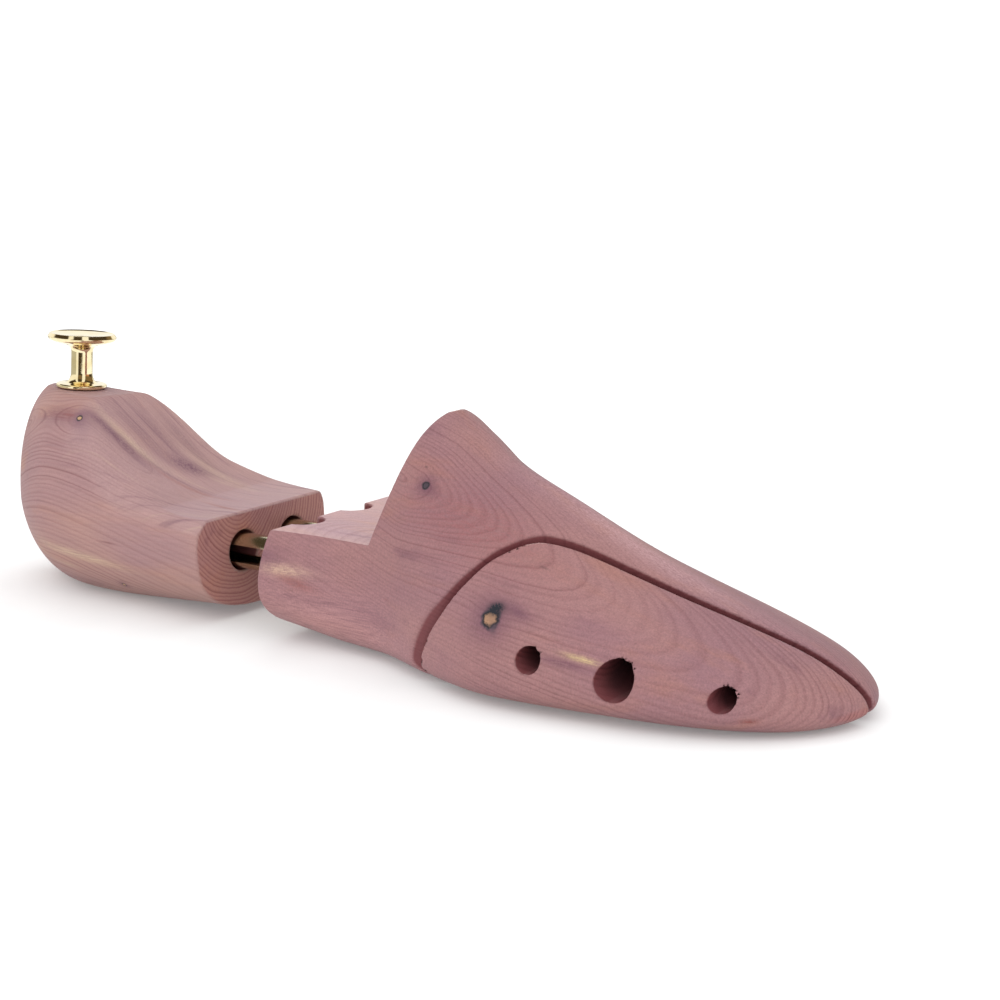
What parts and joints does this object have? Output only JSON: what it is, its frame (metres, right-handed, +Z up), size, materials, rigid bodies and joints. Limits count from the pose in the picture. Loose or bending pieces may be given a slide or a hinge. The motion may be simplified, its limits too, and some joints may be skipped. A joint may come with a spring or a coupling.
{
  "type": "shoe tree",
  "caption": "Cedar shoe tree for a right shoe: a sprung heel block with a turned brass knob slides on slotted tubes, and a sprung side piece splits the vented toe.",
  "frame": {"origin": "middle of the whole tree's box, at floor level, with all springs at rest", "axes": "+X towards the toe, +Y towards the medial (inner) side of the foot, +Z up"},
  "size_m": [0.2936, 0.0818, 0.08],
  "materials": {
    "cedar": "sanded, unfinished aromatic red cedar",
    "brass": "polished to a mirror",
    "plated_tube": "pale brass plate, bright",
    "steel": "plain bright steel"
  },
  "bodies": {
    "forepart": {"forepart_block": "cedar", "tube_lateral": "plated_tube", "tube_medial": "plated_tube", "tube_cap_lateral": "brass", "tube_cap_medial": "brass", "tube_screw_lateral": "steel", "tube_screw_medial": "steel", "guide_pin_rear": "steel", "guide_pin_front": "steel"},
    "heel": {"heel_block": "cedar", "heel_knob": "brass", "knob_stud": "steel", "heel_cross_pin": "steel", "spring_seat_lateral": "steel", "spring_seat_medial": "steel", "heel_spring_lateral": "steel", "heel_spring_medial": "steel"},
    "side": {"side_piece": "cedar", "side_spring_rear": "steel", "side_spring_front": "steel"}
  },
  "joints": [
    {"name": "heel_slide", "type": "slide", "parent": "forepart", "child": "heel", "axis": [1, 0, 0], "range_m": [0, 0.02], "stiffness_N_per_m": 1200, "springref_m": -0.015, "deforming": ["heel_spring_lateral", "heel_spring_medial"]},
    {"name": "side_slide", "type": "slide", "parent": "forepart", "child": "side", "axis": [0, 1, 0], "range_m": [0, 0.0025], "stiffness_N_per_m": 2500, "springref_m": -0.004, "deforming": ["side_spring_rear", "side_spring_front"]}
  ]
}
